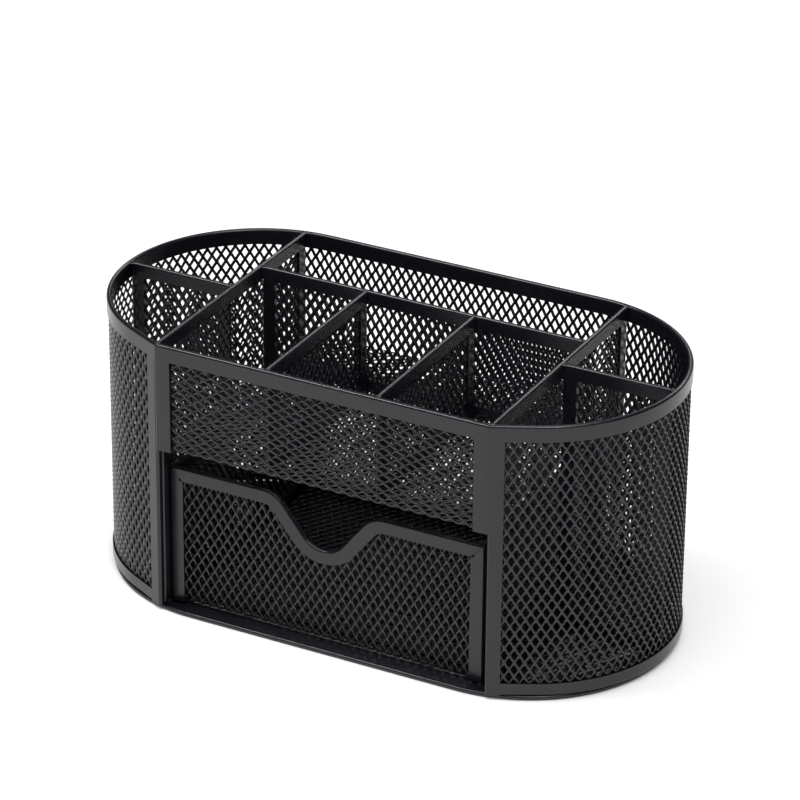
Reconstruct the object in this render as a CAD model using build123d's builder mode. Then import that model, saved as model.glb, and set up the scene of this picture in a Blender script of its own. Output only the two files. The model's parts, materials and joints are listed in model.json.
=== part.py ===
"""Oval desk organizer of expanded steel mesh, with eight pen compartments and a drawer.

One long mesh sheet is rolled into the two rounded ends and the back.  A second sheet is
the front panel and bends inwards into the shelf under the middle compartments.  Every cut
edge of mesh is held in a folded steel strip, and the drawer slides between the two cross
dividers, on the floor mesh.

Frame: X along the length, front towards -Y, Z up, origin under the middle of the outline.
"""
from build123d import *
import os
from math import acos, atan2, cos, degrees, hypot, radians, sin, sqrt, tan

os.makedirs("parts", exist_ok=True)

# ---- Driving dimensions, in millimetres ------------------------------------------------
HEIGHT = 106.0          # floor to the top of the rim
HALF_DEPTH = 54.0       # centre plane to the middle of the front and back walls
HALF_LENGTH = 108.2     # centre plane to the middle of a rounded end wall
END_CENTRE_Y = 0.8      # rolling centre of the end walls, behind the centre plane
END_LENGTH = 43.7       # from a front corner to the middle of its rounded end wall

MESH = 0.7              # thickness of the expanded mesh
STRIP = 2.0             # thickness of a folded edge strip over both flanges
SLOT = 0.8              # gap between the flanges, which holds the mesh
FOLD = 1.4              # solid fold at the closed edge of a strip
FOLD_BEVEL = 0.6        # how far the fold's edges are broken
RIM_WIDTH = 6.0         # strip along the top rim
LOWER_WIDTH = 4.8       # strip along the foot of the end and back walls
EDGE_WIDTH = 5.2        # strips of posts, dividers and drawer
SEAT = 0.1              # gap between pieces that bear on each other

BASE_DEPTH_REACH = 0.5  # base frame: its edge, out from the middle of the straight walls
BASE_END_REACH = -0.3   # and from the middle of the rounded ends
BASE_EDGE = 1.8         # height of the base frame's rolled edge
BASE_BEAD = 1.5         # width of the rolled edge
BEAD_BEVEL = 0.5        # how far the rolled edge is broken
BASE_PLATE = 1.0        # thickness of the flat base frame
BASE_LEDGE = 9.0        # width of the flat frame inside its outline
BASE_BAR = 12.0         # width of the two bars under the cross dividers
SILL = 10.5             # flat sill in front of the drawer, from the base's front edge

CROSS_OUT = 0.5         # the two cross dividers, outwards from the front corners
LONG_Y = 19.6           # the long divider between them
END_Y = 0.0             # the dividers of the rounded ends
SHELF_Z = 64.8          # underside of the shelf
BEND = 1.0              # inner radius of a mesh bend

DRAWER_SIDE_GAP = 2.3   # drawer front: from its sides to the front corners, when centred
DRAWER_SHIFT = -1.5     # the drawer lies against the left side of its bay
DRAWER_INSET = 5.5      # its outer face, behind the middle of the front wall
DRAWER_LIFT = 0.3       # running gap over the base frame's rolled edge
DRAWER_TOP = 56.0       # top of the drawer front
DRAWER_BACK_GAP = 0.5   # gap to the back wall when shut

SCOOP_X = -0.5          # finger scoop: middle, from the middle of the drawer
SCOOP_DEPTH = 18.2
SCOOP_ROUND = 10.0      # radius of its bottom and of its two shoulders
SCOOP_SLOPE = 52.0      # slope of its sides, in degrees
CORNER_ROUND = 1.3      # upper corners of the drawer front

DIAMOND_PITCH_X = 3.55  # mesh openings: short way of the diamonds
DIAMOND_PITCH_Z = 5.65  # long way of the diamonds
STRAND = 0.8            # width of a mesh strand

# ---- Sizes that follow from them -------------------------------------------------------
END_RADIUS = HALF_DEPTH - END_CENTRE_Y        # rolling radius of the end walls
END_X = HALF_LENGTH - END_RADIUS              # and its centre
CORNER_X = HALF_LENGTH - END_LENGTH           # where the end walls meet the front panel
CROSS_X = CORNER_X + CROSS_OUT
SHORT_X = CORNER_X / 3                        # the short dividers part the front in three
corner_reach = hypot(CORNER_X - END_X, HALF_DEPTH + END_CENTRE_Y)
corner_bearing = degrees(atan2(-HALF_DEPTH - END_CENTRE_Y, CORNER_X - END_X))
LEAD_ANGLE = corner_bearing + degrees(acos(END_RADIUS / corner_reach)) + 90
END_SWEEP = 180 - LEAD_ANGLE                  # the arc from the back wall to the straight lead
MITRE = LEAD_ANGLE / 2
LEAD = Vector(cos(radians(LEAD_ANGLE)), sin(radians(LEAD_ANGLE)))

TOP_Z = HEIGHT - RIM_WIDTH                    # lower edge of the rim
SHELF_TOP = SHELF_Z + MESH
WALL_INSIDE = HALF_DEPTH - STRIP / 2 - SEAT   # straight walls: reach of what stands between them
BAY = CROSS_X - STRIP / 2 - SEAT              # half the clear width between the cross dividers
BEND_MID = BEND + MESH / 2                    # a bend's radius at the middle of the sheet

BASE_HALF_DEPTH = HALF_DEPTH + BASE_DEPTH_REACH
BASE_HALF_LENGTH = HALF_LENGTH + BASE_END_REACH

DRAWER_Z = BASE_EDGE + DRAWER_LIFT
DRAWER_WIDTH = 2 * (CORNER_X - DRAWER_SIDE_GAP)
DRAWER_FRONT_Y = -HALF_DEPTH + DRAWER_INSET
DRAWER_MID_Y = DRAWER_FRONT_Y + STRIP / 2
DRAWER_RIGHT = DRAWER_SHIFT + DRAWER_WIDTH / 2
DRAWER_LEFT = DRAWER_SHIFT - DRAWER_WIDTH / 2
SCOOP_RUN = (SCOOP_DEPTH - 2 * SCOOP_ROUND * (1 - cos(radians(SCOOP_SLOPE)))) / sin(
    radians(SCOOP_SLOPE)
)
SCOOP_HALF = 2 * SCOOP_ROUND * sin(radians(SCOOP_SLOPE)) + SCOOP_RUN * cos(radians(SCOOP_SLOPE))


def finish(piece, name):
    """Label a finished piece and write it as its own STEP file."""
    piece.part.label = name
    export_step(piece.part, f"parts/{name}.step")


def back_wall_y(x, thickness=STRIP):
    """How far back a piece of the given x may reach before the rolled wall."""
    return END_CENTRE_Y + sqrt((END_RADIUS - thickness / 2 - SEAT) ** 2 - (x - END_X) ** 2)


def lead_wall_y(x):
    """How far forward a piece of the given x may reach before the straight lead."""
    rise = (x - CORNER_X) * tan(radians(LEAD_ANGLE))
    return -HALF_DEPTH + rise + (STRIP / 2 + SEAT) / cos(radians(LEAD_ANGLE))


# ---- Rolled wall: both ends and the back -----------------------------------------------
DRAWER_BACK_Y = back_wall_y(BAY) - DRAWER_BACK_GAP


def wrap_line(gap):
    """Plan of the rolled wall's middle, stopping short of both front corners by the gap."""
    with BuildLine() as line:
        Line((-END_X, HALF_DEPTH), (END_X, HALF_DEPTH))
        rolled = JernArc(
            start=(END_X, HALF_DEPTH), tangent=(1, 0), radius=END_RADIUS, arc_size=-END_SWEEP
        )
        stop = Vector(CORNER_X, -HALF_DEPTH) + LEAD * gap
        lead = Line(rolled @ 1, stop)
        mirror(rolled, about=Plane.YZ)
        mirror(lead, about=Plane.YZ)
    return line.edges()


def trim_corner(towards_end):
    """Cut a plan sketch along the mitre lines of both front corners."""
    for side in (-1, 1):
        into = Align.MAX if (side > 0) == towards_end else Align.MIN
        corner = Location((side * CORNER_X, -HALF_DEPTH), side * MITRE)
        step = SEAT / 2 if into == Align.MIN else -SEAT / 2
        with Locations(corner * Location((-step, 0))):
            Rectangle(4 * STRIP, 4 * STRIP, align=(into, Align.CENTER), mode=Mode.SUBTRACT)


def long_edges(face):
    """The edges of a narrow face that run along it."""
    return face.edges().filter_by(lambda edge: edge.length > 2 * STRIP)


def wrap_strip(low, high, line_gap, fold_up):
    """A folded strip along the rolled wall, with its fold up or down."""
    with BuildPart() as strip:
        with BuildSketch(Plane.XY.offset(low)):
            trace(wrap_line(line_gap), STRIP)
            if line_gap == 0:
                trim_corner(towards_end=True)
        extrude(amount=high - low)
        chamfer(long_edges(strip.faces().sort_by(Axis.Z)[-1 if fold_up else 0]), FOLD_BEVEL)
        slot_low = low if fold_up else low + FOLD
        with BuildSketch(Plane.XY.offset(slot_low)):
            trace(wrap_line(line_gap + (FOLD if line_gap == 0 else 0)), SLOT)
        extrude(amount=high - low - FOLD, mode=Mode.SUBTRACT)
    return strip


def finish_in_lengths(strip, name):
    """Part a strip where the rounded ends begin, and write its three lengths."""
    begin = END_X + SEAT / 2
    straight = END_X - SEAT / 2
    reach = HALF_LENGTH + STRIP
    for place, low_x, high_x in (
        ("left_end", -reach, -begin), ("back", -straight, straight), ("right_end", begin, reach)
    ):
        with BuildPart() as length:
            add(strip.part)
            with Locations(((low_x + high_x) / 2, 0, 0)):
                Box(high_x - low_x, 4 * HALF_DEPTH, 4 * HEIGHT, mode=Mode.INTERSECT)
        finish(length, f"{place}_{name}")


with BuildPart() as wrap_mesh:
    with BuildSketch(Plane.XY.offset(BASE_EDGE + FOLD + SEAT)):
        trace(wrap_line(FOLD + SEAT), MESH)
    extrude(amount=HEIGHT - BASE_EDGE - 2 * (FOLD + SEAT))
finish(wrap_mesh, "rolled_wall_mesh")

wrap_rim = wrap_strip(TOP_Z, HEIGHT, 0, fold_up=True)
finish_in_lengths(wrap_rim, "rim_strip")

wrap_foot = wrap_strip(BASE_EDGE, BASE_EDGE + LOWER_WIDTH, EDGE_WIDTH + SEAT, fold_up=False)
finish_in_lengths(wrap_foot, "foot_strip")

for side, name in ((-1, "left_front_post"), (1, "right_front_post")):
    corner = Location((side * CORNER_X, -HALF_DEPTH), side * LEAD_ANGLE)
    fold_middle = SEAT + STRIP / 2
    with BuildPart() as post:
        with BuildSketch(Plane.XY.offset(BASE_EDGE)):
            with Locations(corner * Location((side * fold_middle, 0))):
                Circle(STRIP / 2)
            with Locations(corner * Location((side * (fold_middle + EDGE_WIDTH) / 2, 0))):
                Rectangle(EDGE_WIDTH - fold_middle, STRIP)
            with Locations(corner * Location((side * (FOLD + EDGE_WIDTH) / 2, 0))):
                Rectangle(EDGE_WIDTH - FOLD, SLOT, mode=Mode.SUBTRACT)
        extrude(amount=TOP_Z - BASE_EDGE)
    finish(post, name)


# ---- Front panel, its strips and the shelf ---------------------------------------------
with BuildPart() as front_rim:
    with BuildSketch(Plane.XY.offset(TOP_Z)):
        with Locations((0, -HALF_DEPTH)):
            Rectangle(2 * CORNER_X + STRIP, STRIP)
        trim_corner(towards_end=False)
    extrude(amount=RIM_WIDTH)
    chamfer(long_edges(front_rim.faces().sort_by(Axis.Z)[-1]), FOLD_BEVEL)
    with BuildSketch(Plane.XY.offset(TOP_Z)):
        with Locations((0, -HALF_DEPTH)):
            Rectangle(2 * (CORNER_X - FOLD), SLOT)
    extrude(amount=RIM_WIDTH - FOLD, mode=Mode.SUBTRACT)
finish(front_rim, "front_rim_strip")

for side, name in ((-1, "front_left_strip"), (1, "front_right_strip")):
    outer = CORNER_X - SEAT - STRIP / 2
    inner = CORNER_X - EDGE_WIDTH
    with BuildPart() as edge_strip:
        with BuildSketch(Plane.XY.offset(SHELF_Z)):
            with Locations((side * outer, -HALF_DEPTH)):
                Circle(STRIP / 2)
            with Locations((side * (outer + inner) / 2, -HALF_DEPTH)):
                Rectangle(outer - inner, STRIP)
            with Locations((side * (CORNER_X - FOLD + inner) / 2, -HALF_DEPTH)):
                Rectangle(CORNER_X - FOLD - inner, SLOT, mode=Mode.SUBTRACT)
        extrude(amount=TOP_Z - SHELF_Z)
    finish(edge_strip, name)


def bent_sheet(front_y, low_z, top_z, back_y, half_width):
    """A mesh sheet that hangs down from top_z and bends back along a floor at low_z."""
    floor_mid = low_z + MESH / 2
    with BuildPart() as sheet:
        with BuildSketch(Plane.YZ):
            with BuildLine() as section:
                Line((front_y, top_z), (front_y, floor_mid + BEND_MID))
                JernArc(
                    start=(front_y, floor_mid + BEND_MID), tangent=(0, -1),
                    radius=BEND_MID, arc_size=90,
                )
                Line((front_y + BEND_MID, floor_mid), (back_y, floor_mid))
            trace(section.edges(), MESH)
        extrude(amount=half_width, both=True)
    return sheet.part


with BuildPart() as front_panel:
    add(bent_sheet(-HALF_DEPTH, SHELF_Z, HEIGHT - FOLD - SEAT, back_wall_y(BAY, MESH), BAY))
    bend_top = SHELF_TOP + BEND
    for side in (-1, 1):
        # beside the bend the sheet is notched to clear the side strips
        with Locations((side * (CORNER_X - EDGE_WIDTH - SEAT), -HALF_DEPTH, SHELF_Z)):
            Box(
                4 * EDGE_WIDTH, 2 * (STRIP / 2 + SEAT), bend_top - SHELF_Z,
                align=(Align.MIN if side > 0 else Align.MAX, Align.CENTER, Align.MIN),
                mode=Mode.SUBTRACT,
            )
        with Locations((side * (CORNER_X - FOLD - SEAT), -HALF_DEPTH, SHELF_Z)):
            Box(
                4 * EDGE_WIDTH, 2 * (STRIP / 2 + SEAT), HEIGHT,
                align=(Align.MIN if side > 0 else Align.MAX, Align.CENTER, Align.MIN),
                mode=Mode.SUBTRACT,
            )
finish(front_panel, "front_panel_and_shelf_mesh")


# ---- Dividers: a mesh sheet in a folded frame ------------------------------------------
def framed_panel(name, plane, width, height):
    """A flat mesh sheet and the strip folded over its four edges.

    The plane's origin is the lower middle of the frame, with the plane's y upwards.
    """
    foot = (Align.CENTER, Align.MIN)
    with BuildPart() as frame:
        with BuildSketch(plane):
            Rectangle(width, height, align=foot)
            with Locations((0, EDGE_WIDTH)):
                Rectangle(
                    width - 2 * EDGE_WIDTH, height - 2 * EDGE_WIDTH, align=foot, mode=Mode.SUBTRACT
                )
        extrude(amount=STRIP / 2, both=True)
        chamfer(long_edges(frame.faces().sort_by(Axis.Z)[-1]), FOLD_BEVEL)
        with BuildSketch(plane):
            with Locations((0, FOLD)):
                Rectangle(width - 2 * FOLD, height - 2 * FOLD, align=foot)
        extrude(amount=SLOT / 2, both=True, mode=Mode.SUBTRACT)
    finish(frame, f"{name}_frame")

    hidden = FOLD + SEAT
    with BuildPart() as sheet:
        with BuildSketch(plane):
            with Locations((0, hidden)):
                Rectangle(width - 2 * hidden, height - 2 * hidden, align=foot)
        extrude(amount=MESH / 2, both=True)
    finish(sheet, f"{name}_mesh")


def wall_along_y(x, front_y, back_y, low):
    """Plane of a wall that runs from front to back."""
    return Plane((x, (front_y + back_y) / 2, low), x_dir=(0, 1, 0), z_dir=(1, 0, 0))


def wall_along_x(left_x, right_x, y, low):
    """Plane of a wall that runs from left to right."""
    return Plane(((left_x + right_x) / 2, y, low), x_dir=(1, 0, 0), z_dir=(0, -1, 0))


outer_face = CROSS_X + STRIP / 2
cross_front = lead_wall_y(outer_face)
cross_back = back_wall_y(outer_face)
end_inside = HALF_LENGTH - STRIP / 2 - SEAT
full_low = BASE_EDGE + SEAT
shelf_low = SHELF_TOP + SEAT

for side, name in ((-1, "left"), (1, "right")):
    framed_panel(
        f"{name}_cross_divider",
        wall_along_y(side * CROSS_X, cross_front, cross_back, full_low),
        cross_back - cross_front,
        HEIGHT - full_low,
    )
    framed_panel(
        f"{name}_end_divider",
        wall_along_x(side * (outer_face + SEAT), side * end_inside, END_Y, full_low),
        end_inside - outer_face - SEAT,
        HEIGHT - full_low,
    )
    short_back = LONG_Y - STRIP / 2 - SEAT
    framed_panel(
        f"{name}_short_divider",
        wall_along_y(side * SHORT_X, -WALL_INSIDE, short_back, shelf_low),
        short_back + WALL_INSIDE,
        HEIGHT - shelf_low,
    )

framed_panel(
    "long_divider", wall_along_x(-BAY, BAY, LONG_Y, shelf_low), 2 * BAY, HEIGHT - shelf_low
)


# ---- Base frame and floor --------------------------------------------------------------
with BuildPart() as base_frame:
    with BuildSketch() as flat_ring:
        SlotOverall(2 * BASE_HALF_LENGTH, 2 * BASE_HALF_DEPTH)
        with BuildSketch(mode=Mode.SUBTRACT) as windows:
            SlotOverall(2 * (BASE_HALF_LENGTH - BASE_LEDGE), 2 * (BASE_HALF_DEPTH - BASE_LEDGE))
            with Locations((-CROSS_X, 0), (CROSS_X, 0)):
                Rectangle(BASE_BAR, 2 * BASE_HALF_DEPTH, mode=Mode.SUBTRACT)
    extrude(amount=BASE_PLATE)
    with BuildSketch() as rolled_edge:
        SlotOverall(2 * BASE_HALF_LENGTH, 2 * BASE_HALF_DEPTH)
        SlotOverall(
            2 * (BASE_HALF_LENGTH - BASE_BEAD), 2 * (BASE_HALF_DEPTH - BASE_BEAD),
            mode=Mode.SUBTRACT,
        )
    extrude(amount=BASE_EDGE)
    rolled_top = base_frame.faces().sort_by(Axis.Z)[-1].edges()
    underside_rim = base_frame.faces().sort_by(Axis.Z)[0].outer_wire().edges()
    chamfer(rolled_top + underside_rim, BEAD_BEVEL)
finish(base_frame, "base_frame")

with BuildPart() as floor_mesh:
    with BuildSketch(Plane.XY.offset(BASE_PLATE)):
        inset = BASE_BEAD + STRIP
        SlotOverall(2 * (BASE_HALF_LENGTH - inset), 2 * (BASE_HALF_DEPTH - inset))
        with Locations((0, -BASE_HALF_DEPTH)):
            Rectangle(
                2 * BAY, 2 * SILL, align=(Align.CENTER, Align.CENTER), mode=Mode.SUBTRACT
            )
    extrude(amount=MESH)
finish(floor_mesh, "floor_mesh")


# ---- Drawer front ----------------------------------------------------------------------
front_plane = Plane((DRAWER_SHIFT, DRAWER_MID_Y, 0), x_dir=(1, 0, 0), z_dir=(0, -1, 0))
HALF_FRONT = DRAWER_WIDTH / 2
BELOW = DRAWER_Z - 3 * EDGE_WIDTH  # the outline runs on below the drawer, then it is cut off


def front_outline(inset):
    """The drawer front with its finger scoop, drawn in from its edge by the inset."""
    with BuildSketch() as outline:
        with BuildLine():
            start = Line((-HALF_FRONT, DRAWER_TOP), (SCOOP_X - SCOOP_HALF, DRAWER_TOP))
            shoulder = JernArc(start @ 1, (1, 0), SCOOP_ROUND, -SCOOP_SLOPE)
            slope = Line(shoulder @ 1, shoulder @ 1 + (shoulder % 1) * SCOOP_RUN)
            bottom = JernArc(slope @ 1, slope % 1, SCOOP_ROUND, 2 * SCOOP_SLOPE)
            rise = Line(bottom @ 1, bottom @ 1 + (bottom % 1) * SCOOP_RUN)
            crest = JernArc(rise @ 1, rise % 1, SCOOP_ROUND, -SCOOP_SLOPE)
            Polyline(
                crest @ 1, (HALF_FRONT, DRAWER_TOP), (HALF_FRONT, BELOW), (-HALF_FRONT, BELOW),
                (-HALF_FRONT, DRAWER_TOP),
            )
        make_face()
        fillet(outline.vertices().group_by(Axis.Y)[-1].sort_by(Axis.X)[0], CORNER_ROUND)
        fillet(outline.vertices().group_by(Axis.Y)[-1].sort_by(Axis.X)[-1], CORNER_ROUND)
        if inset:
            offset(amount=-inset)
    return outline.sketch


with BuildPart() as front_frame:
    with BuildSketch(front_plane):
        add(front_outline(0).faces())
        add(front_outline(EDGE_WIDTH).faces(), mode=Mode.SUBTRACT)
    extrude(amount=STRIP / 2, both=True)
    flanges = front_frame.faces().filter_by(Axis.Y).sort_by(Axis.Y)
    outer_edges = flanges[0].outer_wire().edges() + flanges[-1].outer_wire().edges()
    chamfer(outer_edges, FOLD_BEVEL)
    with BuildSketch(front_plane):
        add(front_outline(FOLD).faces())
    extrude(amount=SLOT / 2, both=True, mode=Mode.SUBTRACT)


def side_field(side, width):
    """The part of the drawer front that a side strip covers, mitred at its top."""
    outer = side * HALF_FRONT
    with BuildSketch() as field:
        with BuildLine():
            Polyline(
                (outer + side, DRAWER_Z), (outer + side, DRAWER_TOP + 1),
                (outer - side * width, DRAWER_TOP - width), (outer - side * width, DRAWER_Z),
                close=True,
            )
        make_face()
    return field.sketch


for side, name in ((-1, "drawer_front_left_strip"), (1, "drawer_front_right_strip")):
    with BuildPart() as side_strip:
        add(front_frame.part)
        with BuildSketch(front_plane):
            add(side_field(side, EDGE_WIDTH + SEAT).faces())
        extrude(amount=STRIP, both=True, mode=Mode.INTERSECT)
    finish(side_strip, name)

with BuildPart() as top_strip:
    add(front_frame.part)
    for side in (-1, 1):
        with BuildSketch(front_plane):
            add(side_field(side, EDGE_WIDTH + SEAT).faces())
            offset(amount=SEAT)
        extrude(amount=STRIP, both=True, mode=Mode.SUBTRACT)
    with Locations((DRAWER_SHIFT, DRAWER_MID_Y, DRAWER_Z + EDGE_WIDTH)):
        Box(
            2 * DRAWER_WIDTH, 2 * STRIP, HEIGHT,
            align=(Align.CENTER, Align.CENTER, Align.MAX), mode=Mode.SUBTRACT,
        )
finish(top_strip, "drawer_front_top_strip")


def diamond_places(field):
    """Middles of the staggered mesh openings that lie wholly inside a field."""
    face = field.face()
    box = field.bounding_box()
    columns = int(DRAWER_WIDTH / DIAMOND_PITCH_X / 2) + 1
    places = []
    for row in range(int((box.max.Y - box.min.Y) / DIAMOND_PITCH_Z * 2)):
        z = box.min.Y + row * DIAMOND_PITCH_Z / 2 + DIAMOND_HALF_Z
        for column in range(-columns, columns + 1):
            x = (column + row % 2 / 2) * DIAMOND_PITCH_X
            tips = [(x + dx, z + dz, 0) for dx, dz in DIAMOND]
            if all(face.is_inside(tip) for tip in tips):
                places.append((x, z))
    return places


DIAMOND_HALF_X = (DIAMOND_PITCH_X - STRAND) / 2
DIAMOND_HALF_Z = (DIAMOND_PITCH_Z - STRAND) / 2
DIAMOND = ((-DIAMOND_HALF_X, 0), (0, -DIAMOND_HALF_Z), (DIAMOND_HALF_X, 0), (0, DIAMOND_HALF_Z))
BEND_TOP = DRAWER_Z + MESH + 1.5 * BEND       # a flat start above the bend of the mesh foot

with BuildSketch() as open_field:
    add(front_outline(EDGE_WIDTH).faces())
    with Locations((0, BEND_TOP)):
        Rectangle(DRAWER_WIDTH, HEIGHT, align=(Align.CENTER, Align.MAX), mode=Mode.SUBTRACT)

with BuildSketch() as plain_front:
    add(front_outline(FOLD + SEAT).faces())
    with Locations((0, BEND_TOP)):
        Rectangle(2 * DRAWER_WIDTH, HEIGHT, align=(Align.CENTER, Align.MAX), mode=Mode.SUBTRACT)

openings = [
    Wire.make_polygon([(x + dx, z + dz) for dx, dz in DIAMOND])
    for x, z in diamond_places(open_field.sketch)
]

with BuildPart() as drawer_front_mesh:
    with BuildSketch(front_plane.offset(-MESH / 2)):
        add(Face(plain_front.face().outer_wire(), openings))
    extrude(amount=MESH)
    with Locations((DRAWER_SHIFT, 0, 0)):
        add(
            bent_sheet(
                DRAWER_MID_Y, DRAWER_Z, BEND_TOP, DRAWER_MID_Y + 2 * BEND_MID,
                HALF_FRONT - EDGE_WIDTH - SEAT,
            ),
            clean=False,
        )
finish(drawer_front_mesh, "drawer_front_mesh")


# ---- Drawer floor, sides and back ------------------------------------------------------
tray_front = DRAWER_FRONT_Y + STRIP + SEAT
tray_height = DRAWER_TOP - DRAWER_Z

for side, outer, name in ((-1, DRAWER_LEFT, "left"), (1, DRAWER_RIGHT, "right")):
    framed_panel(
        f"drawer_{name}_side",
        wall_along_y(outer - side * STRIP / 2, tray_front, DRAWER_BACK_Y, DRAWER_Z),
        DRAWER_BACK_Y - tray_front,
        tray_height,
    )

back_left = DRAWER_LEFT + STRIP + SEAT
back_right = DRAWER_RIGHT - STRIP - SEAT
framed_panel(
    "drawer_back",
    wall_along_x(back_left, back_right, DRAWER_BACK_Y - STRIP / 2, DRAWER_Z),
    back_right - back_left,
    tray_height,
)

floor_front = DRAWER_MID_Y + 2 * BEND_MID + SEAT
floor_back = DRAWER_BACK_Y - STRIP - SEAT
with BuildPart() as drawer_floor:
    with BuildSketch(Plane.XY.offset(DRAWER_Z)):
        with Locations(((back_left + back_right) / 2, (floor_front + floor_back) / 2)):
            Rectangle(back_right - back_left, floor_back - floor_front)
    extrude(amount=MESH)
finish(drawer_floor, "drawer_floor_mesh")
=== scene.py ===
import bpy
import json
from math import acos, atan2, ceil, cos, degrees, hypot, pi, radians, sin, tan
from mathutils import Matrix, Vector

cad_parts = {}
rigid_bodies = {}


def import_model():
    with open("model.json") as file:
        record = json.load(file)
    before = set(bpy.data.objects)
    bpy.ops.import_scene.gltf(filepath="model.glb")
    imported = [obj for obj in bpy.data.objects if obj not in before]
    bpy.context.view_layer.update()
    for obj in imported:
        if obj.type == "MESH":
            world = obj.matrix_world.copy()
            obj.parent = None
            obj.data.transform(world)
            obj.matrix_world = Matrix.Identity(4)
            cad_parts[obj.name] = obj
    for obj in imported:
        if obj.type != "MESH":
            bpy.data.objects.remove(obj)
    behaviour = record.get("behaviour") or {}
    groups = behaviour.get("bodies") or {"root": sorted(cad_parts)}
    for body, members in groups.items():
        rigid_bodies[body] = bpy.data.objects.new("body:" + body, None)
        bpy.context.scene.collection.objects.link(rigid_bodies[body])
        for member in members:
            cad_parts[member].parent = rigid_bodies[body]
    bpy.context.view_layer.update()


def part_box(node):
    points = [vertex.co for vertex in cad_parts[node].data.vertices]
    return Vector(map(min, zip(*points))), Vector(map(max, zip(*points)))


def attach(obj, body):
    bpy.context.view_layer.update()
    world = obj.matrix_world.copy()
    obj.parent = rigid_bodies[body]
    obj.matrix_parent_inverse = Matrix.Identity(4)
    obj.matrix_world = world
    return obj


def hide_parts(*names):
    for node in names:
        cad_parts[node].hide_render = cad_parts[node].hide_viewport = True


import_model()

# ---- Sizes, in millimetres, as the CAD has them ----------------------------------------
MM = 0.001
HEIGHT = 106.0
HALF_LENGTH = 108.2     # to the middle of a rounded end wall
HALF_DEPTH = 54.0       # to the middle of the front and back walls
END_Y = 0.8             # rolling centre of the end walls
END_RADIUS = HALF_DEPTH - END_Y
END_X = HALF_LENGTH - END_RADIUS
CORNER_X = 64.5         # front corners
CROSS_X = 65.0          # cross dividers
SHORT_X = CORNER_X / 3  # short dividers
LONG_Y = 19.6           # long divider
SHELF_Z = 64.8          # underside of the shelf
CAD_SHEET = 0.7         # the CAD's plain sheets, which stand in for the mesh
BEND = 1.35             # radius of a bend at the middle of the sheet

STRIP = 2.0             # thickness of a folded strip over both flanges
FLANGE = 0.6            # thickness of one flange
FOLD = 1.4              # solid fold at the closed edge of a strip
FOLD_ROUND = 0.95       # radius of the fold's two corners
SEAT = 0.1              # gap between pieces that bear on each other
RIM = 6.0               # width of the strip along the top
LOWER = 4.8             # along the foot
EDGE = 5.2              # and on the posts, the dividers and the drawer

BASE_RADIUS = HALF_DEPTH + 0.5
BASE_X = HALF_LENGTH - 0.3 - BASE_RADIUS
BASE_EDGE = 1.8         # height of the base's rolled edge
BEAD = 1.5              # width of the rolled edge
BEAD_ROUND = 0.68       # radius of its corners
PLATE = 1.0             # thickness of the flat base frame
LEDGE = 9.0             # width of the flat frame inside its outline
BAR = 12.0              # width of its two bars
BAR_GAP = 0.3           # the bars stop this short of the ledge
FLOOR_IN = 3.7          # edge of the floor's mesh, in from the base's
SILL = 10.5             # flat sill in front of the drawer, from the base's front edge
BAY = CORNER_X - 0.6    # half the width of the sill

DRAWER_Z = 2.1
DRAWER_TOP = 56.0
DRAWER_X = -1.5         # the drawer lies against the left side of its bay
DRAWER_HALF = 62.2
DRAWER_MID_Y = -47.5
MITRE_GAP = 0.06        # between the strips of the drawer front, at its upper corners
SCOOP_X = -2.0
SCOOP_DEPTH = 18.2
SCOOP_ROUND = 10.0      # radius of the scoop's bottom and of its two shoulders
SCOOP_SLOPE = 52.0      # slope of its sides, in degrees
SCOOP_RUN = (SCOOP_DEPTH - 2 * SCOOP_ROUND * (1 - cos(radians(SCOOP_SLOPE)))) / sin(
    radians(SCOOP_SLOPE)
)
SCOOP_HALF = 2 * SCOOP_ROUND * sin(radians(SCOOP_SLOPE)) + SCOOP_RUN * cos(radians(SCOOP_SLOPE))

# ---- Sizes of the finer work -----------------------------------------------------------
SHEET = 0.55            # thickness of the expanded mesh
SPARE = 3               # diamonds made beyond the size of a sheet, then cut off
# Pitch and half a knuckle, across and along the length of a diamond, and the strands' lift
TALL = {"pitch": (3.55, 5.65), "knuckle": (0.6, 0.84), "twist": -0.3}
WIDE = {"pitch": (5.2, 3.4), "knuckle": (0.52, 0.36), "twist": 0.16}
FINE = {"pitch": (3.55, 5.65), "knuckle": (0.46, 0.6), "twist": 0.2}
NOTCH_TOP = 68.5        # the front panel's notches beside its bend, which clear the strips
UNDER_STRIP = 2.4       # how far the drawer front's mesh reaches under the scoop's strip

BEND_STEP = 2.5         # length of the stretches in which a strip is bent
BEAD_LENGTHS = 220      # short lengths in the base's rolled edge
FOLD_SEGMENTS = 5       # flats in a round fold
BEAD_SEGMENTS = 4       # and in the rounding of a bead or a corner weld
SMOOTH_ANGLE = 35       # edges up to this angle are shaded smooth
CORNER_WELD = 0.94      # radius of the weld along each front corner
BEAD_HEIGHT = 0.55      # half the height of a weld bead

MERGE = 0.02            # points closer than this become one
NEAR = 0.01             # how near to its place an edge or a face is looked for
RIGHT, BACK, UP, DOWN = (1, 0, 0), (0, 1, 0), (0, 0, 1), (0, 0, -1)
SIDES = ((-1, "left"), (1, "right"))

# ---- Camera ----------------------------------------------------------------------------
VIEW_TURN, VIEW_RISE, VIEW_ROLL = 27.627, 26.694, 0.509   # degrees, as fitted to the photograph
VIEW_PLACE = (616.32, -1172.98, 742.12)
VIEW_FOCUS = 4198       # focal length in pixels of the photograph
PHOTO_WIDTH = 800
SENSOR = 36


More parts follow.
